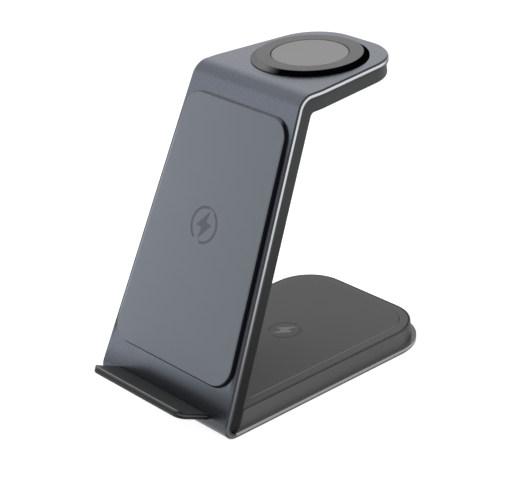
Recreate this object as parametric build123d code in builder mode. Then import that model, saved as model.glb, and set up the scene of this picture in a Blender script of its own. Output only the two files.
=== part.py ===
from build123d import *
from math import atan, cos, degrees, radians, sin, tan
import os

# Bent sheet
base_width = 78.0
base_depth = 120.9
base_corner_radius = 20.5
lean_angle = 24.4
arm_height = 125.1
arm_width = 62.6
arm_end_width = 49.7
arm_reach = 119.0
arm_corner_share = 0.81
sheet_thickness = 2.4
foot_bend_radius = 5.4
top_bend_radius = 8.0
taper_gap = 1.0
taper_blend_radius = 20.0
arm_blend_radius = 30.0
sheet_edge_chamfer = 0.6

# Moulded cover behind the panel and under the arm
cover_inset = 1.0
cover_depth = 5.8
cover_wall = 1.6
cover_bend_radius = 2.5
cover_edge_radius = 0.8
bend_relief = 1.7

# Housing on the base plate
housing_inset = 2.05
housing_height = 6.9
housing_wall = 1.8
housing_draft = 3.0
housing_front_corner = 2.5
housing_edge_radius = 0.4
housing_roof = 1.2
housing_seam_inset = 0.5
housing_seam_width = 0.5
housing_seam_depth = 0.7

# Earbud pad
earbud_pad_margin = 5.0
earbud_pad_front = 20.0
earbud_pad_front_corner = 3.0
earbud_pad_thickness = 1.0
earbud_pad_sink = 0.8

# Phone pad
phone_pad_inset = 2.4
phone_pad_low = 20.1
phone_pad_top_margin = 10.0
phone_pad_corner = 9.0
carrier_rise = 1.3
carrier_chamfer = 0.6
carrier_seat = 3.0
carrier_wall = 1.6
phone_skin_thickness = 0.6
phone_skin_edge = 0.2

# Phone ledge
ledge_width = 56.0
ledge_depth = 15.0
ledge_underside = 6.7
ledge_thickness = 1.6
ledge_front_corner = 4.0
ledge_edge_radius = 0.8
ledge_tongue_width = 40.0
ledge_tongue_reach = 4.4
ledge_pad_thickness = 0.9
ledge_lip_height = 0.5
ledge_lip_width = 2.0
ledge_lip_edge = 0.4

# Watch charger
watch_end_margin = 4.95
ring_foot_radius = 23.8
ring_wall_run = 2.3
ring_height = 1.8
ring_edge_radius = 0.5
ring_foot_rise = 0.3
ring_flange_width = 3.5
ring_neck_drop = 1.0
ring_seat_width = 1.7
watch_pad_radius = 15.6
watch_pad_thickness = 1.4
watch_pad_sink = 0.1
watch_pad_edge = 0.3

# Coils, ferrites and magnet
coil_thickness = 1.2
ferrite_thickness = 0.8
phone_coil_radius = 22.0
phone_coil_hole = 10.0
phone_ferrite_margin = 3.0
earbud_coil_gap = 4.3
earbud_coil_radius = 18.0
earbud_coil_hole = 8.0
earbud_ferrite_margin = 2.5
watch_coil_gap = 0.6
watch_coil_hole = 6.3
watch_ferrite_margin = 2.2
watch_magnet_gap = 0.7
watch_magnet_thickness = 2.1

# Circuit board and its parts
board_width = 44.0
board_length = 23.0
board_thickness = 1.2
board_rear_gap = 3.6
board_lift = 1.6
board_corner = 1.0
inductor_size = 7.0
inductor_height = 1.7
inductor_corner = 1.0
inductor_spread = 13.0
capacitor_length = 3.2
capacitor_width = 2.5
capacitor_height = 1.2
capacitor_pitch = 4.5
chip_size = 5.0
chip_height = 0.9
chip_spread = 7.0

# Inlet
inlet_width = 8.94
inlet_height = 3.26
inlet_length = 7.3
inlet_wall = 0.3
inlet_set_back = 0.5
inlet_ear_width = 1.6
inlet_ear_length = 3.0
tongue_width = 6.0
tongue_thickness = 0.7
tongue_length = 4.6
tongue_block_width = 5.6
tongue_block_length = 1.5

# Leads
lead_radius = 0.45
lead_depth = 5.3
lead_bend_radius = 2.5
watch_lead_offset = 2.0
phone_lead_offset = 5.0
earbud_lead_offset = 9.0
earbud_lead_bend = 1.0
lead_touch_inset = 1.0
lead_slot_width = 16.0
cover_slot_height = 6.0
housing_slot_height = 4.5

# Feet and screws
foot_height = 1.0
foot_radius = 5.5
foot_spread = 54.0
foot_front_reach = 32.0
foot_rear_margin = 23.8
screw_shank_radius = 1.0
screw_head_radius = 2.2
screw_head_height = 1.0
screw_head_sink = 0.2
screw_length = 3.6
boss_radius = 3.0
board_screw_spread = 37.0
board_screw_margin = 3.5
board_screw_head_radius = 1.8
board_screw_head_height = 0.8
board_screw_length = 2.6
board_boss_radius = 2.3

# Clearance between curved faces and round loose pieces
fit_gap = 0.3

# Heights and lines that follow from the sizes
lean = radians(lean_angle)
half_turn = radians(90 - lean_angle) / 2
body_depth = sheet_thickness + cover_depth
taper_start = foot_bend_radius / tan(half_turn) * cos(lean) + taper_gap
side_slope = (base_width - arm_width) / 2 / (arm_height - taper_start)
side_draft = degrees(atan(side_slope))
sheet_underside = foot_height
plate_top = sheet_underside + sheet_thickness
arm_top = sheet_underside + arm_height
arm_underside = arm_top - sheet_thickness
housing_top = plate_top + housing_height
roof_underside = housing_top - earbud_pad_sink - housing_roof
ledge_front = ledge_underside * sin(lean) - ledge_depth * cos(lean)
foot_line = -(base_depth + ledge_front) / 2
base_rear = foot_line + base_depth
arm_end = foot_line + arm_reach
watch_y = arm_end - watch_end_margin - ring_foot_radius
ring_top_radius = ring_foot_radius - ring_wall_run
ring_neck_radius = ring_foot_radius - ring_flange_width
arm_corner_radius = arm_corner_share * arm_end_width / 2
phone_pad_high = arm_height / cos(lean) - phone_pad_top_margin
phone_coil_height = (phone_pad_low + phone_pad_high) / 2
trim_reach = base_depth + arm_reach
trim_margin = 5.0
board_rear = base_rear - housing_inset - board_rear_gap
board_front = board_rear - board_length
earbud_y = board_front - earbud_coil_gap - earbud_coil_radius
board_underside = plate_top + board_lift
board_top = board_underside + board_thickness
board_middle = board_underside + board_thickness / 2
inlet_rear = base_rear - housing_inset - inlet_set_back
inlet_front = inlet_rear - inlet_length
watch_seat = arm_top + ring_height - watch_pad_sink - watch_pad_thickness
watch_coil_radius = watch_pad_radius + fit_gap - ring_seat_width - watch_coil_gap
watch_ferrite_radius = watch_coil_radius - watch_ferrite_margin
watch_magnet_radius = watch_coil_hole - watch_magnet_gap
phone_ferrite_radius = phone_coil_radius - phone_ferrite_margin
earbud_ferrite_radius = earbud_coil_radius - earbud_ferrite_margin
screw_spots = [
    (x, foot_line + reach)
    for x in (-foot_spread / 2, foot_spread / 2)
    for reach in (foot_front_reach, base_depth - foot_rear_margin)
]
board_screw_spots = [
    (x, y)
    for x in (-board_screw_spread / 2, board_screw_spread / 2)
    for y in (board_front + board_screw_margin, board_rear - board_screw_margin)
]

# The panel's outer face: local x across, local y up the slope, local z outwards
panel = Plane(
    origin=(0, foot_line, sheet_underside),
    x_dir=(1, 0, 0),
    z_dir=(0, -cos(lean), sin(lean)),
)
panel_out = Axis(panel.origin, panel.z_dir)


def slope_y(height, depth):
    """Place along Y of the plane that lies depth behind the panel's face, at a height."""
    return foot_line + height * tan(lean) + depth / cos(lean)


def side_half(height):
    """Half the panel's width at a height above the sheet's underside."""
    return base_width / 2 - side_slope * (height - taper_start)


def panel_half(along):
    """Half the panel's width at a distance up its slope."""
    return side_half(along * cos(lean))


def side_trim(inset):
    """Front view of the stand, inset from the sheet's sides: upright at the foot, then closing in."""
    low = base_width / 2 - inset
    high = side_half(arm_height + trim_margin) - inset
    low_z = sheet_underside + taper_start
    floor_z = sheet_underside - trim_margin
    roof_z = arm_top + trim_margin
    Polygon(
        (-low, floor_z),
        (low, floor_z),
        (low, low_z),
        (high, roof_z),
        (-high, roof_z),
        (-low, low_z),
        align=None,
    )
    fillet(vertices().group_by(Axis.Y)[1], taper_blend_radius)


def arm_outline(inset, below):
    """Plan of the arm behind the bend at a depth below its top, inset from the sheet's edge."""
    spread = side_slope * below - inset
    near = arm_width / 2 + spread
    far = arm_end_width / 2 + spread
    rear = arm_end + spread
    front = arm_joint_y - taper_gap
    Polygon(
        (-near, front),
        (near, front),
        (near, arm_taper_y),
        (far, rear),
        (-far, rear),
        (-near, arm_taper_y),
        align=None,
    )
    levels = vertices().group_by(Axis.Y)
    fillet(levels[1], arm_blend_radius)
    fillet(vertices().group_by(Axis.Y)[-1], arm_corner_radius + spread)


def pad_outline(inset, margin, corner):
    """Tapered outline that follows the panel's sides, margin inside the phone pad's ends."""
    low = phone_pad_low + margin
    high = phone_pad_high - margin
    low_half = panel_half(low) - inset
    high_half = panel_half(high) - inset
    Polygon((-low_half, low), (low_half, low), (high_half, high), (-high_half, high), align=None)
    fillet(vertices(), corner)


def base_outline(inset, front):
    """Plan of the base, inset from the plate, with round rear corners."""
    half = base_width / 2 - inset
    rear = base_rear - inset
    Polygon((-half, front), (half, front), (half, rear), (-half, rear), align=None)
    fillet(vertices().group_by(Axis.Y)[-1], base_corner_radius - inset)


def cover_profile(front_depth, rear_depth, corner_relief, rear_radius, floor):
    """Side view of the bent cover up to the arm, between two depths behind the panel's face."""
    top = arm_top - front_depth
    under = arm_top - rear_depth
    low_front = (slope_y(floor - sheet_underside, front_depth), floor)
    high_front = (slope_y(arm_height - front_depth, front_depth), top)
    high_rear = (slope_y(arm_height - rear_depth, rear_depth), under)
    low_rear = (slope_y(floor - sheet_underside, rear_depth), floor)
    end_top = (arm_joint_y, top)
    end_under = (arm_joint_y, under)
    Polygon(low_front, high_front, end_top, end_under, high_rear, low_rear, align=None)
    fillet(vertices().sort_by_distance(high_front)[0], top_bend_radius - sheet_thickness + corner_relief)
    fillet(vertices().sort_by_distance(high_rear)[0], rear_radius)


# Where the arm begins behind the bend, and where its sides begin to close in
arm_joint_y = slope_y(arm_height - body_depth, body_depth) + cover_bend_radius * tan(half_turn) + taper_gap
arm_taper = (arm_width - arm_end_width) / 2 / (arm_end - arm_joint_y)
arm_taper_y = arm_joint_y + arm_blend_radius * arm_taper / 2 + taper_gap

# Bent sheet: base plate, leaning panel and arm in one strip
with BuildPart() as frame_sheet:
    with BuildSketch(Plane.YZ):
        foot_outer = (foot_line, sheet_underside)
        foot_inner = (slope_y(sheet_thickness, sheet_thickness), plate_top)
        top_outer = (slope_y(arm_height, 0), arm_top)
        top_inner = (slope_y(arm_height - sheet_thickness, sheet_thickness), arm_underside)
        with BuildLine():
            Polyline(
                (base_rear, sheet_underside),
                foot_outer,
                top_outer,
                (arm_joint_y, arm_top),
                (arm_joint_y, arm_underside),
                top_inner,
                foot_inner,
                (base_rear, plate_top),
                close=True,
            )
        make_face()
        fillet(vertices().sort_by_distance(foot_outer)[0], foot_bend_radius)
        fillet(vertices().sort_by_distance(foot_inner)[0], foot_bend_radius - sheet_thickness)
        fillet(vertices().sort_by_distance(top_outer)[0], top_bend_radius)
        fillet(vertices().sort_by_distance(top_inner)[0], top_bend_radius - sheet_thickness)
    extrude(amount=base_width, both=True)
    with BuildSketch(Plane.XZ):
        side_trim(0)
    extrude(amount=trim_reach, both=True, mode=Mode.INTERSECT)
    with BuildSketch(Plane.XY.offset(arm_underside)):
        arm_outline(0, sheet_thickness)
    extrude(amount=sheet_thickness, taper=side_draft)
    plate_end = faces().filter_by(Axis.Y).sort_by(Axis.Z)[0]
    fillet(plate_end.edges().filter_by(Axis.X, reverse=True), base_corner_radius)
    # Thin bevel all along the outer edge
    outer_face = faces().filter_by(panel_out).sort_by(panel_out)[-1]
    chamfer(outer_face.edges().sort_by(Axis.X)[-1], sheet_edge_chamfer)
    # Window behind the phone pad
    with BuildSketch(panel):
        pad_outline(phone_pad_inset + carrier_seat, carrier_seat, phone_pad_corner - carrier_seat)
    extrude(amount=-sheet_thickness, both=True, mode=Mode.SUBTRACT)
    # Round hole for the watch charger's neck
    with BuildSketch(Plane.XY.offset(arm_top)):
        with Locations((0, watch_y)):
            Circle(ring_neck_radius + fit_gap)
    extrude(amount=-sheet_thickness, both=True, mode=Mode.SUBTRACT)
    # Slot for the ledge's tongue
    with BuildSketch(panel):
        with Locations((0, ledge_underside + ledge_thickness / 2)):
            Rectangle(ledge_tongue_width, ledge_thickness)
    extrude(amount=-ledge_tongue_reach, both=True, mode=Mode.SUBTRACT)
    # Screw holes, sunk from below
    with BuildSketch(Plane.XY.offset(sheet_underside)):
        with Locations(screw_spots):
            Circle(screw_shank_radius + fit_gap)
    extrude(amount=sheet_thickness, both=True, mode=Mode.SUBTRACT)
    with BuildSketch(Plane.XY.offset(sheet_underside)):
        with Locations(screw_spots):
            Circle(screw_head_radius + fit_gap)
    extrude(amount=screw_head_sink + screw_head_height, both=True, mode=Mode.SUBTRACT)

# Hollow of the moulded cover, open towards the sheet and at the foot
with BuildPart() as cover_hollow:
    with BuildSketch(Plane.YZ):
        cover_profile(
            sheet_thickness - cover_wall,
            body_depth - cover_wall,
            cover_wall,
            cover_bend_radius + cover_wall,
            sheet_underside,
        )
    extrude(amount=base_width, both=True)
    with BuildSketch(Plane.XZ):
        side_trim(cover_inset + cover_wall)
    extrude(amount=trim_reach, both=True, mode=Mode.INTERSECT)
    with BuildSketch(Plane.XY.offset(arm_top - body_depth + cover_wall)):
        arm_outline(cover_inset + cover_wall, body_depth - cover_wall)
    extrude(amount=cover_depth, taper=side_draft)

# Moulded cover behind the panel and under the arm
with BuildPart() as back_cover:
    with BuildSketch(Plane.YZ):
        cover_profile(
            sheet_thickness,
            body_depth,
            bend_relief,
            cover_bend_radius,
            plate_top,
        )
        cover_foot = (slope_y(sheet_thickness, sheet_thickness), plate_top)
        fillet(vertices().sort_by_distance(cover_foot)[0], foot_bend_radius - sheet_thickness + fit_gap)
    extrude(amount=base_width, both=True)
    with BuildSketch(Plane.XZ):
        side_trim(cover_inset)
    extrude(amount=trim_reach, both=True, mode=Mode.INTERSECT)
    with BuildSketch(Plane.XY.offset(arm_top - body_depth)):
        arm_outline(cover_inset, body_depth)
    extrude(amount=cover_depth, taper=side_draft)
    rear_face = faces().filter_by(panel_out).sort_by(panel_out)[0]
    fillet(rear_face.edges().sort_by(Axis.X)[-1], cover_edge_radius)
    add(cover_hollow.part, mode=Mode.SUBTRACT)
    # Slot at the foot where the leads come in
    with BuildSketch(Plane.XZ.offset(-foot_line)):
        with Locations((0, plate_top)):
            Rectangle(lead_slot_width, 2 * cover_slot_height)
    slot_reach = slope_y(sheet_thickness + cover_slot_height, body_depth) - foot_line
    extrude(amount=-slot_reach, mode=Mode.SUBTRACT)

# Housing on the base plate
with BuildPart() as housing_hollow:
    with BuildSketch(Plane.XY.offset(plate_top)):
        base_outline(housing_inset + housing_wall, foot_line)
    extrude(amount=roof_underside - plate_top)
    with BuildSketch(Plane.YZ):
        with BuildLine():
            Polyline(
                (foot_line - base_depth, sheet_underside),
                (slope_y(0, body_depth + housing_wall), sheet_underside),
                (slope_y(arm_height, body_depth + housing_wall), arm_top),
                (foot_line - base_depth, arm_top),
                close=True,
            )
        make_face()
    extrude(amount=base_width, both=True, mode=Mode.SUBTRACT)

with BuildPart() as base_housing:
    with BuildSketch(Plane.XY.offset(plate_top)):
        base_outline(housing_inset, foot_line)
    extrude(amount=housing_height, taper=housing_draft)
    with BuildSketch(Plane.YZ):
        with BuildLine():
            Polyline(
                (foot_line - base_depth, sheet_underside),
                (slope_y(0, body_depth), sheet_underside),
                (slope_y(arm_height, body_depth), arm_top),
                (foot_line - base_depth, arm_top),
                close=True,
            )
        make_face()
    extrude(amount=base_width, both=True, mode=Mode.SUBTRACT)
    housing_front = faces().sort_by(Axis.Y)[0]
    fillet(housing_front.edges().filter_by(Axis.X, reverse=True), housing_front_corner)
    fillet(faces().sort_by(Axis.Z)[-1].edges(), housing_edge_radius)
    add(housing_hollow.part, mode=Mode.SUBTRACT)
    # Parting groove between the wall and the top
    with BuildSketch(Plane.XY.offset(housing_top)):
        top_inset = housing_inset + housing_height * tan(radians(housing_draft))
        top_front = slope_y(sheet_thickness + housing_height, body_depth)
        base_outline(top_inset + housing_seam_inset, top_front + housing_seam_inset)
        fillet(vertices().group_by(Axis.Y)[0], housing_front_corner)
        offset(amount=-housing_seam_width, mode=Mode.SUBTRACT)
    extrude(amount=-housing_seam_depth, mode=Mode.SUBTRACT)
    # Bosses for the screws from below
    with BuildSketch(Plane.XY.offset(plate_top)):
        with Locations(screw_spots):
            Circle(boss_radius)
    extrude(amount=roof_underside - plate_top)
    with BuildSketch(Plane.XY.offset(plate_top)):
        with Locations(screw_spots):
            Circle(screw_shank_radius + fit_gap)
    extrude(amount=screw_length, mode=Mode.SUBTRACT)
    # Bosses that the board hangs from
    with BuildSketch(Plane.XY.offset(board_top)):
        with Locations(board_screw_spots):
            Circle(board_boss_radius)
    extrude(amount=roof_underside - board_top)
    with BuildSketch(Plane.XY.offset(board_top)):
        with Locations(board_screw_spots):
            Circle(screw_shank_radius + fit_gap)
    extrude(amount=board_screw_length - board_thickness, mode=Mode.SUBTRACT)
    # Recess for the earbud pad
    with BuildSketch(Plane.XY.offset(housing_top)):
        base_outline(housing_inset + earbud_pad_margin, foot_line + earbud_pad_front)
        fillet(vertices().group_by(Axis.Y)[0], earbud_pad_front_corner)
    extrude(amount=-earbud_pad_sink, mode=Mode.SUBTRACT)
    # Opening for the inlet
    with BuildSketch(Plane.XZ.offset(-base_rear)):
        with Locations((0, board_middle)):
            SlotOverall(inlet_width + 2 * fit_gap, inlet_height + 2 * fit_gap)
    extrude(amount=housing_inset + 2 * housing_wall, mode=Mode.SUBTRACT)
    # Slot where the leads leave for the panel
    with BuildSketch(Plane.XZ.offset(-foot_line)):
        with Locations((0, plate_top)):
            Rectangle(lead_slot_width, 2 * housing_slot_height)
    slot_reach = slope_y(sheet_thickness + housing_slot_height, body_depth + housing_wall) - foot_line
    extrude(amount=-slot_reach, mode=Mode.SUBTRACT)

# Earbud pad
with BuildPart() as base_pad:
    with BuildSketch(Plane.XY.offset(housing_top - earbud_pad_sink)):
        base_outline(
            housing_inset + earbud_pad_margin + fit_gap,
            foot_line + earbud_pad_front + fit_gap,
        )
        fillet(vertices().group_by(Axis.Y)[0], earbud_pad_front_corner - fit_gap)
    extrude(amount=earbud_pad_thickness)

# Tray of the phone pad: a plate with a wall that enters the sheet's window
with BuildPart() as phone_pad_carrier:
    with BuildSketch(panel):
        pad_outline(phone_pad_inset, 0, phone_pad_corner)
    extrude(amount=carrier_rise)
    chamfer(faces().sort_by(panel_out)[-1].edges(), carrier_chamfer)
    with BuildSketch(panel):
        plug = carrier_seat + fit_gap
        pad_outline(phone_pad_inset + plug, plug, phone_pad_corner - plug)
    extrude(amount=-sheet_thickness)
    with BuildSketch(panel):
        pocket = carrier_seat + fit_gap + carrier_wall
        pad_outline(phone_pad_inset + pocket, pocket, phone_pad_corner - pocket)
    extrude(amount=-sheet_thickness, mode=Mode.SUBTRACT)

# Skin of the phone pad
with BuildPart() as phone_pad:
    with BuildSketch(panel.offset(carrier_rise)):
        pad_outline(phone_pad_inset + carrier_chamfer, carrier_chamfer, phone_pad_corner - carrier_chamfer)
    extrude(amount=phone_skin_thickness)
    chamfer(faces().sort_by(panel_out)[-1].edges(), phone_skin_edge)

# Ledge: bracket square to the panel, with a tongue through the sheet
ledge_plane = Plane(
    origin=(panel * Location((0, ledge_underside, 0))).position,
    x_dir=(1, 0, 0),
    z_dir=(0, sin(lean), cos(lean)),
)
ledge_up = Axis(ledge_plane.origin, ledge_plane.z_dir)


def ledge_outline():
    """Plan of the ledge with round front corners, local y towards the panel."""
    with Locations((0, -ledge_depth / 2)):
        Rectangle(ledge_width, ledge_depth)
    fillet(vertices().group_by(Axis.Y)[0], ledge_front_corner)


with BuildPart() as phone_ledge:
    with BuildSketch(ledge_plane):
        ledge_outline()
    extrude(amount=ledge_thickness)
    ledge_bottom = faces().sort_by(ledge_up)[0]
    fillet(ledge_bottom.edges().sort_by(Axis.Y)[0], ledge_edge_radius)
    with BuildSketch(ledge_plane):
        with Locations((0, ledge_tongue_reach / 2)):
            Rectangle(ledge_tongue_width, ledge_tongue_reach)
    extrude(amount=ledge_thickness)

# Soft liner on the ledge, with the front lip
with BuildPart() as ledge_pad:
    with BuildSketch(ledge_plane.offset(ledge_thickness)):
        ledge_outline()
    extrude(amount=ledge_pad_thickness + ledge_lip_height)
    with BuildSketch(ledge_plane.offset(ledge_thickness + ledge_pad_thickness)):
        with Locations((0, (ledge_lip_width - ledge_depth) / 2)):
            Rectangle(ledge_width, ledge_depth - ledge_lip_width)
    extrude(amount=ledge_lip_height, mode=Mode.SUBTRACT)
    lip_top = faces().sort_by(ledge_up)[-1]
    fillet(lip_top.edges().sort_by(Axis.Y)[0], ledge_lip_edge)

# Watch charger's ring
watch_axis_plane = Plane(origin=(0, watch_y, arm_top), x_dir=(1, 0, 0), z_dir=(0, -1, 0))
with BuildPart() as watch_ring:
    with BuildSketch(watch_axis_plane):
        bore = watch_pad_radius + fit_gap
        seat_height = watch_seat - arm_top
        neck_low = -sheet_thickness - ring_neck_drop
        with BuildLine():
            Polyline(
                (ring_foot_radius, 0),
                (ring_foot_radius, ring_foot_rise),
                (ring_top_radius, ring_height),
                (bore, ring_height),
                (bore, seat_height),
                (bore - ring_seat_width, seat_height),
                (bore - ring_seat_width, neck_low),
                (ring_neck_radius, neck_low),
                (ring_neck_radius, 0),
                close=True,
            )
        make_face()
        fillet(vertices().sort_by_distance((ring_top_radius, ring_height))[0], ring_edge_radius)
    revolve(axis=Axis((0, watch_y, arm_top), (0, 0, 1)))

# Watch charger's disc
with BuildPart() as watch_pad:
    with BuildSketch(Plane.XY.offset(watch_seat)):
        with Locations((0, watch_y)):
            Circle(watch_pad_radius)
    extrude(amount=watch_pad_thickness)
    chamfer(faces().sort_by(Axis.Z)[-1].edges(), watch_pad_edge)

# Coils, ferrites and the watch magnet
with BuildPart() as watch_coil:
    with BuildSketch(Plane.XY.offset(watch_seat)):
        with Locations((0, watch_y)):
            Circle(watch_coil_radius)
            Circle(watch_coil_hole, mode=Mode.SUBTRACT)
    extrude(amount=-coil_thickness)

with BuildPart() as watch_ferrite:
    with BuildSketch(Plane.XY.offset(watch_seat - coil_thickness)):
        with Locations((0, watch_y)):
            Circle(watch_ferrite_radius)
            Circle(watch_coil_hole, mode=Mode.SUBTRACT)
    extrude(amount=-ferrite_thickness)

with BuildPart() as watch_magnet:
    with BuildSketch(Plane.XY.offset(watch_seat)):
        with Locations((0, watch_y)):
            Circle(watch_magnet_radius)
    extrude(amount=-watch_magnet_thickness)

with BuildPart() as phone_coil:
    with BuildSketch(panel):
        with Locations((0, phone_coil_height)):
            Circle(phone_coil_radius)
            Circle(phone_coil_hole, mode=Mode.SUBTRACT)
    extrude(amount=-coil_thickness)

with BuildPart() as phone_ferrite:
    with BuildSketch(panel.offset(-coil_thickness)):
        with Locations((0, phone_coil_height)):
            Circle(phone_ferrite_radius)
    extrude(amount=-ferrite_thickness)

with BuildPart() as earbud_coil:
    with BuildSketch(Plane.XY.offset(roof_underside)):
        with Locations((0, earbud_y)):
            Circle(earbud_coil_radius)
            Circle(earbud_coil_hole, mode=Mode.SUBTRACT)
    extrude(amount=-coil_thickness)

with BuildPart() as earbud_ferrite:
    with BuildSketch(Plane.XY.offset(roof_underside - coil_thickness)):
        with Locations((0, earbud_y)):
            Circle(earbud_ferrite_radius)
    extrude(amount=-ferrite_thickness)

# Circuit board with a cut-out for the inlet
with BuildPart() as main_board:
    with BuildSketch(Plane.XY.offset(board_underside)):
        with Locations((0, board_rear - board_length / 2)):
            RectangleRounded(board_width, board_length, board_corner)
        with Locations((0, (inlet_front + board_rear) / 2)):
            Rectangle(inlet_width + 2 * fit_gap, board_rear - inlet_front + 2 * fit_gap, mode=Mode.SUBTRACT)
        with Locations(board_screw_spots):
            Circle(screw_shank_radius + fit_gap, mode=Mode.SUBTRACT)
    extrude(amount=board_thickness)

# Parts on the board
board_row = board_front + board_length / 2
with BuildPart() as power_inductors:
    with BuildSketch(Plane.XY.offset(board_top)):
        with Locations((-inductor_spread, board_row), (inductor_spread, board_row)):
            RectangleRounded(inductor_size, inductor_size, inductor_corner)
    extrude(amount=inductor_height)

with BuildPart() as power_capacitors:
    with BuildSketch(Plane.XY.offset(board_top)):
        with Locations((0, board_row)):
            with GridLocations(capacitor_pitch, capacitor_pitch, 2, 1):
                Rectangle(capacitor_width, capacitor_length)
    extrude(amount=capacitor_height)

with BuildPart() as control_chips:
    with BuildSketch(Plane.XY.offset(board_top)):
        with Locations((-chip_spread, board_front + chip_size), (chip_spread, board_front + chip_size)):
            Rectangle(chip_size, chip_size)
    extrude(amount=chip_height)

# Inlet: a metal shell with ears on the board, and its tongue
with BuildPart() as usb_c_shell:
    with BuildSketch(Plane.XZ.offset(-inlet_rear)):
        with Locations((0, board_middle)):
            SlotOverall(inlet_width, inlet_height)
            SlotOverall(inlet_width - 2 * inlet_wall, inlet_height - 2 * inlet_wall, mode=Mode.SUBTRACT)
    extrude(amount=inlet_length)
    with BuildSketch(Plane.XY.offset(board_top)):
        ear_y = inlet_front + inlet_ear_length
        with Locations((-inlet_width / 2, ear_y), (inlet_width / 2, ear_y)):
            Rectangle(2 * inlet_ear_width, inlet_ear_length)
    extrude(amount=inlet_wall)
    with BuildSketch(Plane.XZ.offset(-inlet_rear)):
        with Locations((0, board_middle)):
            SlotOverall(inlet_width - 2 * inlet_wall, inlet_height - 2 * inlet_wall)
    extrude(amount=inlet_length, mode=Mode.SUBTRACT)

with BuildPart() as usb_c_tongue:
    with BuildSketch(Plane.XZ.offset(-inlet_front - tongue_block_length)):
        with Locations((0, board_middle)):
            Rectangle(tongue_block_width, inlet_height - 2 * inlet_wall)
    extrude(amount=tongue_block_length)
    with BuildSketch(Plane.XZ.offset(-inlet_front - tongue_block_length)):
        with Locations((0, board_middle)):
            Rectangle(tongue_width, tongue_thickness)
    extrude(amount=-tongue_length)

# Leads: from the board's front edge to each coil, in pairs
lead_run = (slope_y(board_middle - sheet_underside, lead_depth), board_middle)
phone_touch = phone_coil_height - phone_coil_radius + lead_touch_inset + lead_radius


def panel_spot(along, depth):
    """Side view place at a distance up the panel and a depth behind its face."""
    return (
        foot_line + along * sin(lean) + depth * cos(lean),
        sheet_underside + along * cos(lean) - depth * sin(lean),
    )


with BuildPart() as phone_leads:
    with BuildLine(Plane.YZ.offset(phone_lead_offset)) as phone_path:
        FilletPolyline(
            (board_front, board_middle),
            lead_run,
            panel_spot(phone_touch, lead_depth),
            panel_spot(phone_touch, coil_thickness),
            radius=lead_bend_radius,
        )
    with BuildSketch(Plane(origin=phone_path.line @ 0, z_dir=phone_path.line % 0)):
        Circle(lead_radius)
    sweep()
    mirror(about=Plane.YZ)

watch_touch = watch_y - watch_coil_radius + lead_touch_inset
with BuildPart() as watch_leads:
    with BuildLine(Plane.YZ.offset(watch_lead_offset)) as watch_path:
        FilletPolyline(
            (board_front, board_middle),
            lead_run,
            (slope_y(arm_height - lead_depth, lead_depth), arm_top - lead_depth),
            (watch_touch, arm_top - lead_depth),
            (watch_touch, watch_seat - coil_thickness),
            radius=lead_bend_radius,
        )
    with BuildSketch(Plane(origin=watch_path.line @ 0, z_dir=watch_path.line % 0)):
        Circle(lead_radius)
    sweep()
    mirror(about=Plane.YZ)

earbud_touch = earbud_y + (earbud_ferrite_radius + earbud_coil_radius) / 2 - lead_radius * 2
with BuildPart() as earbud_leads:
    with BuildLine(Plane.YZ.offset(earbud_lead_offset)) as earbud_path:
        FilletPolyline(
            (board_front, board_middle),
            (earbud_touch, board_middle),
            (earbud_touch, roof_underside - coil_thickness),
            radius=earbud_lead_bend,
        )
    with BuildSketch(Plane(origin=earbud_path.line @ 0, z_dir=earbud_path.line % 0)):
        Circle(lead_radius)
    sweep()
    mirror(about=Plane.YZ)

# Rubber feet, each over a screw
with BuildPart() as rubber_feet:
    with BuildSketch(Plane.XY):
        with Locations(screw_spots):
            Circle(foot_radius)
    extrude(amount=foot_height)

# Screws from below into the housing
with BuildPart() as housing_screws:
    screw_seat = sheet_underside + screw_head_sink + screw_head_height
    with BuildSketch(Plane.XY.offset(sheet_underside + screw_head_sink)):
        with Locations(screw_spots):
            Circle(screw_head_radius)
    extrude(amount=screw_head_height)
    with BuildSketch(Plane.XY.offset(screw_seat)):
        with Locations(screw_spots):
            Circle(screw_shank_radius)
    extrude(amount=screw_length)

# Screws that hold the board to its bosses
with BuildPart() as board_screws:
    with BuildSketch(Plane.XY.offset(board_underside - board_screw_head_height)):
        with Locations(board_screw_spots):
            Circle(board_screw_head_radius)
    extrude(amount=board_screw_head_height)
    with BuildSketch(Plane.XY.offset(board_underside)):
        with Locations(board_screw_spots):
            Circle(screw_shank_radius)
    extrude(amount=board_screw_length - fit_gap)

# Labels and files
pieces = {
    "frame_sheet": frame_sheet,
    "back_cover": back_cover,
    "base_housing": base_housing,
    "base_pad": base_pad,
    "phone_pad_carrier": phone_pad_carrier,
    "phone_pad": phone_pad,
    "phone_ledge": phone_ledge,
    "ledge_pad": ledge_pad,
    "watch_ring": watch_ring,
    "watch_pad": watch_pad,
    "phone_coil": phone_coil,
    "phone_ferrite": phone_ferrite,
    "watch_coil": watch_coil,
    "watch_ferrite": watch_ferrite,
    "watch_magnet": watch_magnet,
    "earbud_coil": earbud_coil,
    "earbud_ferrite": earbud_ferrite,
    "main_board": main_board,
    "usb_c_shell": usb_c_shell,
    "usb_c_tongue": usb_c_tongue,
    "power_inductors": power_inductors,
    "power_capacitors": power_capacitors,
    "control_chips": control_chips,
    "phone_leads": phone_leads,
    "watch_leads": watch_leads,
    "earbud_leads": earbud_leads,
    "rubber_feet": rubber_feet,
    "housing_screws": housing_screws,
    "board_screws": board_screws,
}
os.makedirs("parts", exist_ok=True)
for name, piece in pieces.items():
    piece.part.label = name
    export_step(piece.part, f"parts/{name}.step")
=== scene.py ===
from math import cos, radians, sin

import bpy
from mathutils import Matrix, Vector


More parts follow.
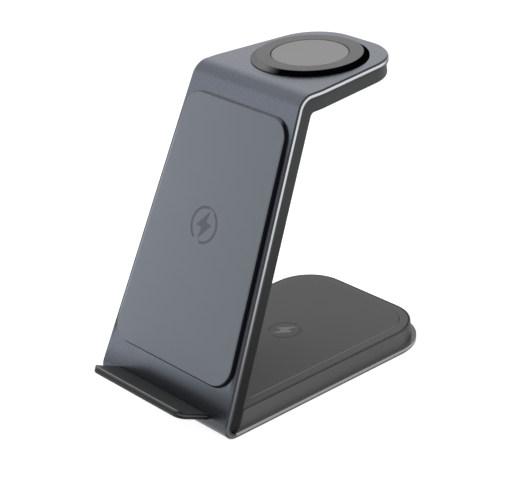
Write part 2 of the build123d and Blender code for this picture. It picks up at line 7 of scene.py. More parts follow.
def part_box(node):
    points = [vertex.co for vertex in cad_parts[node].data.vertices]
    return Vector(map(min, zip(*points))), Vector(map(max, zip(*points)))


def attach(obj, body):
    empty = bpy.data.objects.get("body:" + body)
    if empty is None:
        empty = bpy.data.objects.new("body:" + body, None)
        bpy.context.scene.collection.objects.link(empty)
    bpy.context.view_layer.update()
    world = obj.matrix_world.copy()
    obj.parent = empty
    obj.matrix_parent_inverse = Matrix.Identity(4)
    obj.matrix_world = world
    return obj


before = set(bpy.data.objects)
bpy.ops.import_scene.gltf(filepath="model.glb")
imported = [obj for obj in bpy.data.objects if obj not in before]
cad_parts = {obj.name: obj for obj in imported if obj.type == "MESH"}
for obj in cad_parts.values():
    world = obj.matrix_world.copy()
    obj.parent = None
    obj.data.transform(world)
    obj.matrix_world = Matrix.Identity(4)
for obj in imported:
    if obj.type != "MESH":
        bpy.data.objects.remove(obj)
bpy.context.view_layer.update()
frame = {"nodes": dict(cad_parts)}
nodes = frame["nodes"]
MM = 0.001


# The leaning panel's outer face, and the two bends of the sheet
LEAN = radians(24.4)
FOOT_Y = -55.004 * MM
FOOT_Z = 1.0 * MM
ARM_TOP = 126.1 * MM
FOOT_BEND = 5.4 * MM
TOP_BEND = 8.0 * MM
FOOT_BEND_Y = FOOT_Y + FOOT_BEND * (1 + sin(LEAN)) / cos(LEAN)
FOOT_BEND_Z = FOOT_Z + FOOT_BEND
TOP_BEND_Z = ARM_TOP - TOP_BEND
TOP_BEND_Y = FOOT_Y + (TOP_BEND + (TOP_BEND_Z - FOOT_Z) * sin(LEAN)) / cos(LEAN)
TAPER_Z = 9.63 * MM
HALF_WIDTH = 39.0 * MM
SIDE_SLOPE = 0.0661


# Shader values as expressions
class Value:
    """A number that varies over a surface: one output socket in a node tree."""

    def __init__(self, nodes, socket):
        self.nodes = nodes
        self.socket = socket

    def __add__(self, other):
        return self.nodes.math("ADD", self, other)

    def __radd__(self, other):
        return self.nodes.math("ADD", other, self)

    def __sub__(self, other):
        return self.nodes.math("SUBTRACT", self, other)

    def __rsub__(self, other):
        return self.nodes.math("SUBTRACT", other, self)

    def __mul__(self, other):
        return self.nodes.math("MULTIPLY", self, other)

    def __rmul__(self, other):
        return self.nodes.math("MULTIPLY", other, self)

    def __pow__(self, other):
        return self.nodes.math("POWER", self, other)

    def __abs__(self):
        return self.nodes.math("ABSOLUTE", self)

    def __gt__(self, other):
        return self.nodes.math("GREATER_THAN", self, other)

    def __lt__(self, other):
        return self.nodes.math("LESS_THAN", self, other)

    def either(self, other):
        return self.nodes.math("MAXIMUM", self, other)

    def ramp(self, low, high):
        """0 below low, 1 above high, smooth between."""
        settings = {"interpolation_type": "SMOOTHSTEP"}
        sockets = {"Value": self, "From Min": low, "From Max": high}
        return self.nodes.value("ShaderNodeMapRange", settings, sockets)


class NodeTree:
    """A material's or a world's nodes."""

    def __init__(self, tree):
        self.tree = tree

    def set(self, node, socket, value):
        target = node.inputs[socket]
        if isinstance(value, Value):
            self.tree.links.new(value.socket, target)
        elif isinstance(value, bpy.types.NodeSocket):
            self.tree.links.new(value, target)
        elif isinstance(value, tuple) and len(value) == 3 and target.type == "RGBA":
            target.default_value = (*value, 1.0)
        else:
            target.default_value = value

    def node(self, kind, settings=None, sockets=None):
        """Any node: its settings are set first, then its sockets' values or links."""
        made = self.tree.nodes.new(kind)
        for setting, value in (settings or {}).items():
            setattr(made, setting, value)
        for socket, value in (sockets or {}).items():
            self.set(made, socket, value)
        return made

    def value(self, kind, settings=None, sockets=None, output=0):
        return Value(self, self.node(kind, settings, sockets).outputs[output])

    def shader_node(self, kind, sockets):
        return self.node(kind, sockets=sockets).outputs[0]

    def math(self, operation, first, second=0.0):
        return self.value("ShaderNodeMath", {"operation": operation}, {0: first, 1: second})

    def split(self, vector):
        made = self.node("ShaderNodeSeparateXYZ", sockets={"Vector": vector})
        return [Value(self, made.outputs[axis]) for axis in "XYZ"]

    def mix(self, factor, first, second):
        """Blend of two colours."""
        settings = {"data_type": "RGBA"}
        return self.node("ShaderNodeMix", settings, {0: factor, 6: first, 7: second}).outputs[2]


class Finish(NodeTree):
    """A procedural material on one principled shader."""

    def __init__(self, name, roughness, metallic=0.0, specular=0.5, coat_roughness=0.1):
        self.material = bpy.data.materials.new(name)
        self.material.use_nodes = True
        super().__init__(self.material.node_tree)
        self.shader = self.tree.nodes["Principled BSDF"]
        self.set(self.shader, "Roughness", roughness)
        self.set(self.shader, "Metallic", metallic)
        self.set(self.shader, "Specular IOR Level", specular)
        self.set(self.shader, "Coat Roughness", coat_roughness)
        coords = self.node("ShaderNodeTexCoord")
        self.place = coords.outputs["Object"]
        self.axes = self.split(self.place)
        geometry = self.node("ShaderNodeNewGeometry")
        self.facing = self.split(geometry.outputs["Normal"])

    def panel_places(self):
        """How far a place lies up the leaning panel from its foot, and out from its face."""
        _, y, z = self.axes
        along = (y - FOOT_Y) * sin(LEAN) + (z - FOOT_Z) * cos(LEAN)
        out = (FOOT_Y - y) * cos(LEAN) + (z - FOOT_Z) * sin(LEAN)
        return along, out

    def side_margin(self):
        """How far a place on the panel lies in from its nearer side."""
        x, _, z = self.axes
        return HALF_WIDTH - (z - TAPER_Z) * SIDE_SLOPE - abs(x)

    def noise(self, size, detail=2.0, stretch=None):
        """Cloudy grain, about size metres across."""
        place = self.place
        if stretch:
            stretched = {"Vector": place, "Scale": stretch}
            place = self.node("ShaderNodeMapping", sockets=stretched).outputs[0]
        sockets = {"Vector": place, "Scale": 1 / size, "Detail": detail}
        return self.value("ShaderNodeTexNoise", sockets=sockets)

    def cells(self, size, feature="F1"):
        """Round cells, about size metres across."""
        sockets = {"Vector": self.place, "Scale": 1 / size}
        return self.value("ShaderNodeTexVoronoi", {"feature": feature}, sockets)

    def colour(self, value):
        self.set(self.shader, "Base Color", value)

    def roughness(self, value):
        self.set(self.shader, "Roughness", value)

    def metallic(self, value):
        self.set(self.shader, "Metallic", value)

    def coat(self, value):
        self.set(self.shader, "Coat Weight", value)

    def bump(self, height, depth, strength=1.0):
        """Relief depth metres deep from a height between 0 and 1."""
        sockets = {"Strength": strength, "Distance": depth, "Height": height}
        relief = self.node("ShaderNodeBump", sockets=sockets)
        self.set(self.shader, "Normal", relief.outputs[0])


def shade(colour, factor):
    return tuple(channel * factor for channel in colour)


SLATE = (0.158, 0.174, 0.206)
SLATE_SKIN = (0.150, 0.166, 0.192)
# Dark slate for painted shade on the bevels and beside the pad
BEVEL_SLATE = (0.045, 0.048, 0.056)
# Near black for painted shade on the sheet's cut edges
EDGE_SHADE_SLATE = (0.040, 0.043, 0.046)
CUT_METAL = (0.58, 0.60, 0.62)
# Cut-metal colour darkened as painted shade at the foot
CUT_METAL_FOOT_SHADE = (0.09, 0.095, 0.095)
# Cut-metal colour dimmed as painted shade on the plate's edge
CUT_METAL_PLATE_SHADE = (0.27, 0.27, 0.285)
BASE_GREY = (0.105, 0.105, 0.107)
COVER_GREY = (0.047, 0.050, 0.050)


def radius_from(across, up):
    return (across * across + up * up) ** 0.5


def sheet_depth(finish):
    """Depth below the sheet's outer face, along plate, foot bend, panel, top bend and arm."""
    _, y, z = finish.axes
    along, out = finish.panel_places()
    foot_along = (FOOT_BEND_Y - FOOT_Y) * sin(LEAN) + (FOOT_BEND_Z - FOOT_Z) * cos(LEAN)
    top_along = (TOP_BEND_Y - FOOT_Y) * sin(LEAN) + (TOP_BEND_Z - FOOT_Z) * cos(LEAN)
    foot = (along < foot_along) * (y < FOOT_BEND_Y)
    plate = (z < 5 * MM) * (y > FOOT_BEND_Y)
    top = (along > top_along) * (y < TOP_BEND_Y)
    arm = (z > 100 * MM) * (y > TOP_BEND_Y)
    panel = 1 - foot - plate - top - arm
    foot_depth = FOOT_BEND - radius_from(y - FOOT_BEND_Y, z - FOOT_BEND_Z)
    top_depth = TOP_BEND - radius_from(y - TOP_BEND_Y, z - TOP_BEND_Z)
    straight = plate * (z - FOOT_Z) + arm * (ARM_TOP - z) - panel * out
    return straight + foot * foot_depth + top * top_depth


def panel_painted_shade(finish, face):
    """Face colour with painted shade at the foot and in the narrow strips beside the raised pad,
    and a painted dark reflection round the top bend.
    """
    x, _, height = finish.axes
    up = finish.facing[2]
    along, _ = finish.panel_places()
    pad_length = along.ramp(18 * MM, 26 * MM) * (1 - along.ramp(112 * MM, 124 * MM))
    # Painted shadow: the narrow strips beside the raised pad are darkened.
    pad_side_shadow = (finish.side_margin() < 2.5 * MM) * pad_length
    # Painted shade: the face darkens towards the foot.
    clear_of_foot_shade = (height - x * 0.12).ramp(11 * MM, 21 * MM)
    # Painted reflection: the top bend is darkened.
    top_bend_reflection = up.ramp(0.50, 0.68) * (1 - up.ramp(0.90, 0.99))
    foot_shaded = finish.mix(clear_of_foot_shade, shade(SLATE, 0.42), face)
    shaded = finish.mix(pad_side_shadow * 0.75, foot_shaded, BEVEL_SLATE)
    return finish.mix(top_bend_reflection, shaded, shade(SLATE, 0.80))


def slate_aluminium():
    """Anodised sheet with a blasted grain and a bright cut line along its edge; painted shade
    darkens the bevels, the rest of the cut edges, the cut line towards the foot and the plate's
    top.
    """
    finish = Finish("slate_aluminium", 0.26, metallic=0.9)
    side, depth, up = finish.facing
    height = finish.axes[2]
    grain = finish.noise(0.30 * MM, 3)
    cloud = finish.noise(30 * MM, 2)
    sideways = abs(side)
    edge = (sideways > 0.9).either((abs(up) < 0.15) * (depth > 0.3))
    bevel = (sideways > 0.5) * (sideways < 0.9) * (abs(up) > 0.15)
    face = finish.mix(cloud * 0.6 + grain * 0.4, shade(SLATE, 0.94), shade(SLATE, 1.06))
    # Painted shade: the bevels are coloured dark slate.
    bevelled = finish.mix(bevel, panel_painted_shade(finish, face), BEVEL_SLATE)
    # Painted shade: the cut edges are dark wherever the bright cut line is not laid over them.
    edged = finish.mix(edge, bevelled, EDGE_SHADE_SLATE)
    plate = (height < 4 * MM) * (finish.axes[1] > FOOT_BEND_Y)
    # Painted shade: the plate's upward faces take the housing's dull grey instead of slate metal.
    rim_painted_light = plate * (up > 0.9)
    plate_top_shaded = finish.mix(rim_painted_light, edged, BASE_GREY)
    # Painted shade: the bright cut line fades to dark towards the foot, and on the plate it takes
    # a dimmer copy of its colour.
    line = finish.mix(height.ramp(0.0, 125 * MM), CUT_METAL_FOOT_SHADE, CUT_METAL)
    lined = finish.mix(plate, line, CUT_METAL_PLATE_SHADE)
    below = sheet_depth(finish)
    bent_line = (1 - plate) * (1 - below.ramp(1.5 * MM, 1.8 * MM))
    plate_line = plate * below.ramp(1.0 * MM, 1.3 * MM)
    cut = edge * sideways.ramp(0.85, 0.97) * (bent_line + plate_line)
    finish.colour(finish.mix(cut, plate_top_shaded, lined))
    finish.metallic(0.9 - rim_painted_light * 0.9)
    finish.roughness(0.26 + (grain - 0.5) * 0.12)
    finish.bump(grain, 0.012 * MM, 0.25)
    return finish.material


def slate_skin():
    """Soft-touch skin of the phone pad, with a painted highlight along its left edge."""
    finish = Finish("slate_skin", 0.55, specular=0.3)
    grain = finish.noise(0.22 * MM, 2)
    cloud = finish.noise(40 * MM, 2)
    tone = cloud * 0.7 + grain * 0.3
    face = finish.mix(tone, shade(SLATE_SKIN, 0.96), shade(SLATE_SKIN, 1.04))
    along, _ = finish.panel_places()
    length = along.ramp(26 * MM, 36 * MM) * (1 - along.ramp(106 * MM, 116 * MM))
    # Painted highlight: a paler line along the pad's left edge only.
    rim_painted_light = (1 - finish.side_margin().ramp(3.7 * MM, 4.3 * MM)) * (finish.axes[0] < 0) * length
    finish.colour(finish.mix(rim_painted_light, face, shade(SLATE_SKIN, 1.45)))
    finish.roughness(0.55 + (grain - 0.5) * 0.16)
    finish.bump(grain, 0.010 * MM, 0.4)
    return finish.material


def moulded_plastic(name, colour, grain_size, roughness, specular):
    """Plastic with the fine spark grain of its mould, and its plain colour to lay tones over."""
    finish = Finish(name, roughness, specular=specular)
    grain = finish.cells(grain_size)
    cloud = finish.noise(25 * MM, 2)
    tone = cloud * 0.5 + grain * 0.5
    finish.plain = finish.mix(tone, shade(colour, 0.92), shade(colour, 1.08))
    finish.colour(finish.plain)
    finish.roughness(roughness + (grain - 0.4) * 0.2)
    finish.bump(grain, 0.02 * MM, 0.5)
    return finish


def cover_plastic():
    """Dark plastic, with painted shade darkening it towards the base."""
    finish = moulded_plastic("cover_plastic", COVER_GREY, 0.30 * MM, 0.5, 0.15)
    # Painted shade: the colour darkens towards the base.
    high = finish.axes[2].ramp(0.0, 125 * MM)
    finish.colour(finish.mix(high, shade(COVER_GREY, 0.04), finish.plain))
    return finish.material


def housing_plastic():
    """Grey plastic, with painted shade along its rounded top edge and towards the rear."""
    finish = moulded_plastic("housing_plastic", BASE_GREY, 0.32 * MM, 0.5, 0.2)
    _, depth, up = finish.facing
    # Painted shade: a dark line along the rounded top edge.
    edge = up.ramp(0.10, 0.25) * (1 - up.ramp(0.85, 0.97))
    # Painted shade: the walls turning to the rear are darkened.
    rear = depth.ramp(0.08, 0.45) * (up < 0.3)
    edged = finish.mix(edge, finish.plain, shade(BASE_GREY, 0.22))
    finish.colour(finish.mix(rear, edged, shade(BASE_GREY, 0.30)))
    return finish.material


def earbud_pad_finish():
    """Grey plastic with a painted highlight on its side walls, a pale line round its edge."""
    finish = moulded_plastic("earbud_pad", BASE_GREY, 0.22 * MM, 0.55, 0.2)
    # Painted highlight: the side walls are paler than the top.
    finish.colour(finish.mix(finish.facing[2] < 0.5, finish.plain, (0.30, 0.30, 0.30)))
    return finish.material


def black_rim():
    """Black tray, with a painted highlight where its wall faces up."""
    finish = Finish("black_rim", 0.4, specular=0.05)
    grain = finish.noise(0.4 * MM, 2)
    black = finish.mix(grain, (0.0030, 0.0036, 0.005), (0.005, 0.006, 0.008))
    # Painted highlight: grey where the wall faces up.
    finish.colour(finish.mix(finish.facing[2].ramp(0.78, 0.90), black, (0.125, 0.132, 0.148)))
    finish.roughness(0.36 + grain * 0.1)
    return finish.material


LEDGE_PARTING = 8.3 * MM
LEDGE_FRONT = 15.0 * MM


def ledge_finish(name, colour, grain_size, roughness, specular):
    """Dark plastic with a parting line, painted shade where it meets the panel, ends painted near
    black as shade with a painted highlight across them at the parting, and a painted highlight
    along the lip's front top edge.
    """
    finish = moulded_plastic(name, colour, grain_size, roughness, specular)
    along, out = finish.panel_places()
    side, _, up = finish.facing
    end = abs(side).ramp(0.3, 0.7)
    parting = 1 - abs(along - LEDGE_PARTING).ramp(0.18 * MM, 0.38 * MM)
    # Painted shade: darkened close to the panel.
    corner = 1 - out.ramp(0.2 * MM, 1.2 * MM)
    at_front = (out - LEDGE_FRONT + 0.7 * MM).ramp(0.0, 0.3 * MM)
    lip = at_front * (up > 0.6) * (along > LEDGE_PARTING)
    # The parting line is a dark line of the moulding; the darkening beside the panel is painted
    # shade.
    parted_and_corner_shaded = finish.mix(parting.either(corner * 0.8), finish.plain, (0.006, 0.006, 0.006))
    # Painted highlight: a pale line along the lip's front top edge.
    lip_highlight = finish.mix(lip, parted_and_corner_shaded, (0.17, 0.18, 0.18))
    # Painted shade: the ends are near black.
    ends_shaded = finish.mix(end, lip_highlight, (0.004, 0.004, 0.004))
    # Painted highlight: a pale line across the ends at the parting.
    finish.colour(finish.mix(end * parting * 0.6, ends_shaded, (0.16, 0.16, 0.16)))
    return finish.material


def ledge_plastic():
    return ledge_finish("ledge_plastic", (0.030, 0.032, 0.032), 0.28 * MM, 0.36, 0.2)


def ledge_liner():
    return ledge_finish("ledge_liner", (0.036, 0.039, 0.038), 0.18 * MM, 0.45, 0.2)


def gloss_black():
    """Black ring, dull on its sloped wall and under clear gloss on its flat top, with painted
    highlights on the left-facing wall and on the inner wall round the disc.
    """
    finish = Finish("gloss_black", 0.4, specular=0.0, coat_roughness=0.12)
    haze = finish.noise(6 * MM, 2)
    side, _, up = finish.facing
    x, y, _ = finish.axes
    low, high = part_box("watch_pad")
    centre = (low + high) / 2
    bore = radius_from(x - centre.x, y - centre.y) < 16.4 * MM
    top = up.ramp(0.9, 0.99)
    # Painted highlight: grey where the wall faces left.
    painted_sheen = (1 - side.ramp(-0.08, 0.16)) * (up > 0.5)
    wall = finish.mix(painted_sheen, (0.0010, 0.0012, 0.0016), (0.20, 0.20, 0.20))
    # Painted highlight: the inner wall round the disc is grey.
    lined = finish.mix(bore, wall, (0.16, 0.16, 0.16))
    finish.colour(finish.mix(top, lined, (0.012, 0.012, 0.012)))
    finish.coat(top * 0.98)
    finish.roughness(0.35 + haze * 0.1)
    return finish.material


def watch_disc():
    finish = Finish("watch_disc", 0.5, specular=0.25)
    grain = finish.noise(0.2 * MM, 2)
    finish.colour(finish.mix(grain, (0.325, 0.325, 0.325), (0.35, 0.35, 0.35)))
    finish.roughness(0.48 + grain * 0.08)
    finish.bump(grain, 0.008 * MM, 0.3)
    return finish.material


def copper_winding():
    finish = Finish("copper_winding", 0.35, metallic=0.9)
    strand = finish.noise(0.5 * MM, 2)
    finish.colour(finish.mix(strand, (0.42, 0.16, 0.06), (0.70, 0.32, 0.14)))
    finish.roughness(0.28 + strand * 0.2)
    finish.bump(strand, 0.03 * MM, 0.6)
    return finish.material


def ferrite():
    finish = Finish("ferrite", 0.6)
    grain = finish.noise(0.15 * MM, 3)
    finish.colour(finish.mix(grain, (0.018, 0.017, 0.016), (0.036, 0.034, 0.032)))
    finish.roughness(0.5 + grain * 0.25)
    finish.bump(grain, 0.015 * MM, 0.5)
    return finish.material


def magnet_plating():
    finish = Finish("magnet_plating", 0.22, metallic=1.0)
    haze = finish.noise(1.5 * MM, 2)
    finish.colour(finish.mix(haze, (0.52, 0.50, 0.47), (0.62, 0.60, 0.57)))
    finish.roughness(0.16 + haze * 0.16)
    return finish.material


def circuit_board():
    finish = Finish("circuit_board", 0.4)
    weave = finish.noise(0.3 * MM, 2)
    tracks = finish.cells(2.2 * MM, "DISTANCE_TO_EDGE")
    line = 1 - tracks.ramp(0.05, 0.09)
    lacquer = finish.mix(weave, (0.006, 0.040, 0.020), (0.010, 0.055, 0.028))
    finish.colour(finish.mix(line * 0.7, lacquer, (0.020, 0.095, 0.045)))
    finish.roughness(0.32 + weave * 0.15)
    finish.bump(line, 0.02 * MM, 0.6)
    return finish.material


def inlet_steel():
    finish = Finish("inlet_steel", 0.28, metallic=1.0)
    drawn = finish.noise(0.2 * MM, 2, (1.0, 0.05, 1.0))
    finish.colour(finish.mix(drawn, (0.46, 0.46, 0.45), (0.60, 0.60, 0.58)))
    finish.roughness(0.2 + drawn * 0.18)
    return finish.material


def small_body(name, dark, pale, roughness, metallic=0.0):
    finish = Finish(name, roughness, metallic=metallic)
    grain = finish.noise(0.25 * MM, 2)
    finish.colour(finish.mix(grain, dark, pale))
    finish.roughness(roughness + (grain - 0.5) * 0.2)
    finish.bump(grain, 0.01 * MM, 0.4)
    return finish.material


def inlet_moulding():
    return small_body("inlet_moulding", (0.008, 0.008, 0.009), (0.014, 0.014, 0.015), 0.45)


def inductor_body():
    return small_body("inductor_body", (0.05, 0.05, 0.05), (0.08, 0.08, 0.08), 0.6)


def capacitor_body():
    return small_body("capacitor_body", (0.30, 0.22, 0.13), (0.38, 0.29, 0.18), 0.45)


def chip_body():
    return small_body("chip_body", (0.010, 0.010, 0.011), (0.018, 0.018, 0.019), 0.5)


def lead_sheath():
    return small_body("lead_sheath", (0.006, 0.006, 0.007), (0.012, 0.012, 0.013), 0.4)


def foot_rubber():
    return small_body("foot_rubber", (0.010, 0.010, 0.011), (0.020, 0.020, 0.021), 0.75)


def screw_steel():
    return small_body("screw_steel", (0.38, 0.38, 0.38), (0.50, 0.50, 0.49), 0.32, 1.0)


def sign_ink():
    return small_body("sign_ink", (0.058, 0.061, 0.076), (0.072, 0.076, 0.094), 0.5)


BASE_SIGN_Y = 14.9 * MM


def base_sign_ink():
    """Dark ring and a paler bolt in its middle."""
    finish = Finish("base_sign_ink", 0.45, specular=0.2)
    x, y, _ = finish.axes
    grain = finish.noise(0.25 * MM, 2)
    ring = radius_from(x, y - BASE_SIGN_Y) > 5.9 * MM
    finish.colour(finish.mix(ring, (0.200, 0.200, 0.204), (0.058, 0.058, 0.060)))
    finish.roughness(0.40 + grain * 0.1)
    return finish.material


def contact_gold():
    return small_body("contact_gold", (0.66, 0.45, 0.16), (0.82, 0.60, 0.26), 0.25, 1.0)


node_finishes = {
    "frame_sheet": slate_aluminium(),
    "back_cover": cover_plastic(),
    "base_housing": housing_plastic(),
    "base_pad": earbud_pad_finish(),
    "phone_pad_carrier": black_rim(),
    "phone_pad": slate_skin(),
    "phone_ledge": ledge_plastic(),
    "ledge_pad": ledge_liner(),
    "watch_ring": gloss_black(),
    "watch_pad": watch_disc(),
    "main_board": circuit_board(),
    "usb_c_shell": inlet_steel(),
    "usb_c_tongue": inlet_moulding(),
    "power_inductors": inductor_body(),
    "power_capacitors": capacitor_body(),
    "control_chips": chip_body(),
    "rubber_feet": foot_rubber(),
    "watch_magnet": magnet_plating(),
}
copper = copper_winding()
ferrite_finish = ferrite()
sheath = lead_sheath()
steel = screw_steel()
for coil in ("phone_coil", "watch_coil", "earbud_coil"):
    node_finishes[coil] = copper
for sheet in ("phone_ferrite", "watch_ferrite", "earbud_ferrite"):
    node_finishes[sheet] = ferrite_finish
for lead in ("phone_leads", "watch_leads", "earbud_leads"):
    node_finishes[lead] = sheath
for screws in ("housing_screws", "board_screws"):
    node_finishes[screws] = steel
for node, finish in node_finishes.items():
    nodes[node].data.materials.clear()
    nodes[node].data.materials.append(finish)


# Modelling steps shared by the pieces
def start_fresh():
    bpy.ops.object.select_all(action="DESELECT")


def select_only(mesh_object, kind, wanted):
    """In object mode, selects the elements of one kind that the test picks."""
    bpy.ops.object.mode_set(mode="EDIT")
    bpy.ops.mesh.select_mode(type=kind)
    bpy.ops.mesh.select_all(action="DESELECT")
    bpy.ops.object.mode_set(mode="OBJECT")
    mesh = mesh_object.data
    elements = {"VERT": mesh.vertices, "FACE": mesh.polygons}[kind]
    for element in elements:
        element.select = wanted(element)
    bpy.ops.object.mode_set(mode="EDIT")


def settle(piece, name, material):
    """Name, finish and body of a finished piece, with its place in its mesh."""
    piece.name = name
    piece.data.name = name
    bpy.ops.object.transform_apply(location=True, rotation=True, scale=True)
    piece.data.materials.clear()
    piece.data.materials.append(material)
    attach(piece, "root")


# Charging sign: a broken ring round a bolt, both as thin raised print
RING_STEPS = 96
PRINT_HEIGHT = 0.05 * MM
PRINT_SINK = 0.02 * MM
RING_GAP = (radians(-125), radians(-93))
RING_THIN = (radians(55), radians(85))
BOLT_HALF = [(0.24, 0.80), (-0.55, -0.11), (-0.12, -0.17)]
BOLT_OUTLINE = BOLT_HALF + [(-x, -y) for x, y in BOLT_HALF]


def turn_of(place):
    return Vector((place.x, place.y)).angle_signed(Vector((1, 0)))


def sign_ring(radius, width, gap, thin):
    """Flat ring, open between one pair of angles and thinner between another."""
    start_fresh()
    bpy.ops.mesh.primitive_circle_add(vertices=RING_STEPS, radius=radius, fill_type="NOTHING")
    ring = bpy.context.object
    bpy.ops.object.mode_set(mode="EDIT")
    bpy.ops.mesh.select_all(action="SELECT")
    inner = (radius - width) / radius
    bpy.ops.mesh.extrude_edges_move()
    bpy.ops.transform.resize(value=(inner, inner, 1))
    bpy.ops.object.mode_set(mode="OBJECT")

    select_only(ring, "FACE", lambda face: gap[0] < turn_of(face.center) < gap[1])
    bpy.ops.mesh.delete(type="FACE")
    bpy.ops.object.mode_set(mode="OBJECT")
    middle = radius - width / 2

    def on_thin_part(vertex):
        return vertex.co.length < middle and thin[0] < turn_of(vertex.co) < thin[1]

    select_only(ring, "VERT", on_thin_part)
    slimmed = (radius - 0.4 * width) / (radius - width)
    bpy.ops.transform.resize(value=(slimmed, slimmed, 1), center_override=(0, 0, 0))
    bpy.ops.object.mode_set(mode="OBJECT")
    return ring


def sign_bolt(corners):
    """Flat bolt drawn from a round of points pulled to its corners."""
    start_fresh()
    bpy.ops.mesh.primitive_circle_add(vertices=len(corners), radius=MM, fill_type="NGON")
    bolt = bpy.context.object
    for index, corner in enumerate(corners):
        start = bolt.data.vertices[index].co.copy()
        select_only(bolt, "VERT", lambda vertex: vertex.index == index)
        bpy.ops.transform.translate(value=Vector((*corner, 0)) - start)
        bpy.ops.object.mode_set(mode="OBJECT")
    return bolt


def charging_sign(name, radius, line, centre, tilt, turn, material):
    """Ring and bolt joined, given their thickness and laid on a surface."""
    ring = sign_ring(radius, line, RING_GAP, RING_THIN)
    corners = [(x * radius, y * radius) for x, y in BOLT_OUTLINE]
    bolt = sign_bolt(corners)
    start_fresh()
    bolt.select_set(True)
    ring.select_set(True)
    bpy.context.view_layer.objects.active = ring
    bpy.ops.object.join()
    bpy.ops.object.mode_set(mode="EDIT")
    bpy.ops.mesh.select_all(action="SELECT")
    bpy.ops.mesh.normals_make_consistent(inside=False)
    lift = (0, 0, PRINT_HEIGHT + PRINT_SINK)
    bpy.ops.mesh.extrude_region_move(TRANSFORM_OT_translate={"value": lift})
    bpy.ops.mesh.select_all(action="SELECT")
    bpy.ops.mesh.normals_make_consistent(inside=False)
    bpy.ops.transform.translate(value=(0, 0, -PRINT_SINK))
    bpy.ops.object.mode_set(mode="OBJECT")
    ring.rotation_euler = (tilt, 0, turn)
    ring.location = centre
    settle(ring, name, material)


charging_sign(
    "phone_charge_sign",
    7.6 * MM,
    1.1 * MM,
    (0, -24.636 * MM, 72.545 * MM),
    radians(90) - LEAN,
    0,
    sign_ink(),
)
charging_sign(
    "base_charge_sign",
    7.0 * MM,
    0.9 * MM,
    (0, BASE_SIGN_Y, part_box("base_pad")[1].z),
    0,
    0,
    base_sign_ink(),
)


# Contacts on the inlet's tongue: one strip, repeated over both sides
def inlet_contacts():
    low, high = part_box("usb_c_tongue")
    pitch = 0.5 * MM
    count = 10
    length = 3.0 * MM
    rear = high.y - 0.4 * MM
    middle = (low.z + high.z) / 2
    face = 0.35 * MM
    start_fresh()
    first = (-pitch * (count - 1) / 2, rear - length / 2, middle + face)
    bpy.ops.mesh.primitive_cube_add(size=1, location=first)
    strip = bpy.context.object
    strip.scale = (0.26 * MM, length, 0.05 * MM)
    bpy.ops.object.transform_apply(location=False, rotation=False, scale=True)
    bevel = strip.modifiers.new("edge", "BEVEL")
    bevel.width = 0.02 * MM
    bevel.segments = 2
    bpy.ops.object.modifier_apply(modifier=bevel.name)
    for name, copies, step in (("row", count, (pitch, 0, 0)), ("sides", 2, (0, 0, -2 * face))):
        array = strip.modifiers.new(name, "ARRAY")
        array.count = copies
        array.use_relative_offset = False
        array.use_constant_offset = True
        array.constant_offset_displace = step
        bpy.ops.object.modifier_apply(modifier=array.name)
    settle(strip, "inlet_contacts", contact_gold())


inlet_contacts()


# Stage: floor, world, lamps and camera
LIGHT_SIDE = (0.35, -0.78, 0.52)
DIM_SIDE = 0.05
BRIGHT_SIDE = 0.62
FLOOR_GLOW = 0.85
FLOOR_GREY = (0.55, 0.55, 0.55)
WHITE = (1.0, 1.0, 1.0)


def seen_plainly(nodes):
    """1 for camera, glossy and transmission rays, which meet the plain white studio."""
    path = nodes.node("ShaderNodeLightPath")
    rays = ("Is Camera Ray", "Is Glossy Ray", "Is Transmission Ray")
    camera, glossy, clear = (Value(nodes, path.outputs[ray]) for ray in rays)
    return camera.either(glossy).either(clear)


def floor():
    start_fresh()
    bpy.ops.mesh.primitive_plane_add(size=8, location=(0, 0, -0.0002))
    ground = bpy.context.object
    ground.name = "floor"
    material = bpy.data.materials.new("pale_floor")
    material.use_nodes = True
    material.node_tree.nodes.clear()
    nodes = NodeTree(material.node_tree)
    diffuse = nodes.shader_node("ShaderNodeBsdfDiffuse", {"Color": FLOOR_GREY})
    level = seen_plainly(nodes) * FLOOR_GLOW
    glow = nodes.shader_node("ShaderNodeEmission", {"Color": WHITE, "Strength": level})
    both = nodes.shader_node("ShaderNodeAddShader", {0: diffuse, 1: glow})
    nodes.node("ShaderNodeOutputMaterial", sockets={"Surface": both})
    ground.data.materials.append(material)


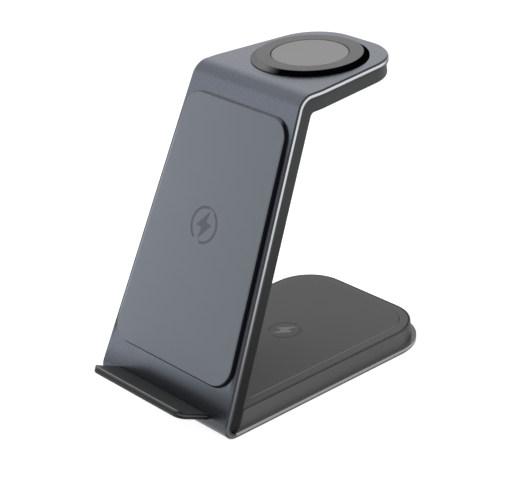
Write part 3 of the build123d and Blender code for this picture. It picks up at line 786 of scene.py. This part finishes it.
def studio_world():
    """Soft light, mostly from the front; plain white to a camera, glossy or clear ray."""
    world = bpy.data.worlds.new("studio")
    bpy.context.scene.world = world
    world.use_nodes = True
    world.node_tree.nodes.clear()
    nodes = NodeTree(world.node_tree)
    ray = nodes.node("ShaderNodeTexCoord").outputs["Generated"]
    dot = {"operation": "DOT_PRODUCT"}
    towards = nodes.value("ShaderNodeVectorMath", dot, {0: ray, 1: LIGHT_SIDE}, "Value")
    level = DIM_SIDE + (towards + 1) * ((BRIGHT_SIDE - DIM_SIDE) / 2)
    soft = nodes.shader_node("ShaderNodeBackground", {"Color": WHITE, "Strength": level})
    white = nodes.shader_node("ShaderNodeBackground", {"Color": WHITE})
    choice = nodes.shader_node("ShaderNodeMixShader", {0: seen_plainly(nodes), 1: soft, 2: white})
    nodes.node("ShaderNodeOutputWorld", sockets={"Surface": choice})


def soft_lamp(name, place, target, size, power, mirrored):
    start_fresh()
    bpy.ops.object.light_add(type="AREA", location=place)
    lamp = bpy.context.object
    lamp.name = name
    lamp.data.shape = "DISK"
    lamp.data.size = size
    lamp.data.energy = power
    aim = Vector(target) - Vector(place)
    lamp.rotation_euler = aim.to_track_quat("-Z", "Y").to_euler()
    lamp.visible_glossy = mirrored


def photo_camera():
    azimuth, elevation, roll = radians(49.375), radians(25.104), radians(-3.010)
    back = Vector((sin(azimuth) * cos(elevation), -cos(azimuth) * cos(elevation), sin(elevation)))
    level_right = Vector((cos(azimuth), sin(azimuth), 0))
    level_up = back.cross(level_right)
    right = level_right * cos(roll) + level_up * sin(roll)
    up = level_up * cos(roll) - level_right * sin(roll)
    camera = bpy.data.cameras.new("photo_camera")
    camera.sensor_fit = "HORIZONTAL"
    camera.sensor_width = 36
    camera.lens = 126.25
    camera.shift_x = -0.00071
    camera.shift_y = -0.00054
    camera.clip_start = 0.01
    viewer = bpy.data.objects.new("photo_camera", camera)
    bpy.context.scene.collection.objects.link(viewer)
    axes = Matrix((right, up, back)).transposed().to_4x4()
    axes.translation = (0.510050, -0.432858, 0.371171)
    viewer.matrix_world = axes
    bpy.context.scene.camera = viewer


floor()
studio_world()
soft_lamp("left_lamp", (-0.26, -0.20, 0.16), (0, 0, 0.07), 0.3, 0.90, False)
soft_lamp("right_lamp", (0.30, 0.08, 0.24), (0.03, 0, 0.05), 0.25, 0.60, False)
soft_lamp("rear_lamp", (-0.69, 0.62, 0.55), (0, 0, 0.12), 0.6, 0.05, True)
photo_camera()
bpy.context.scene.view_settings.view_transform = "Standard"
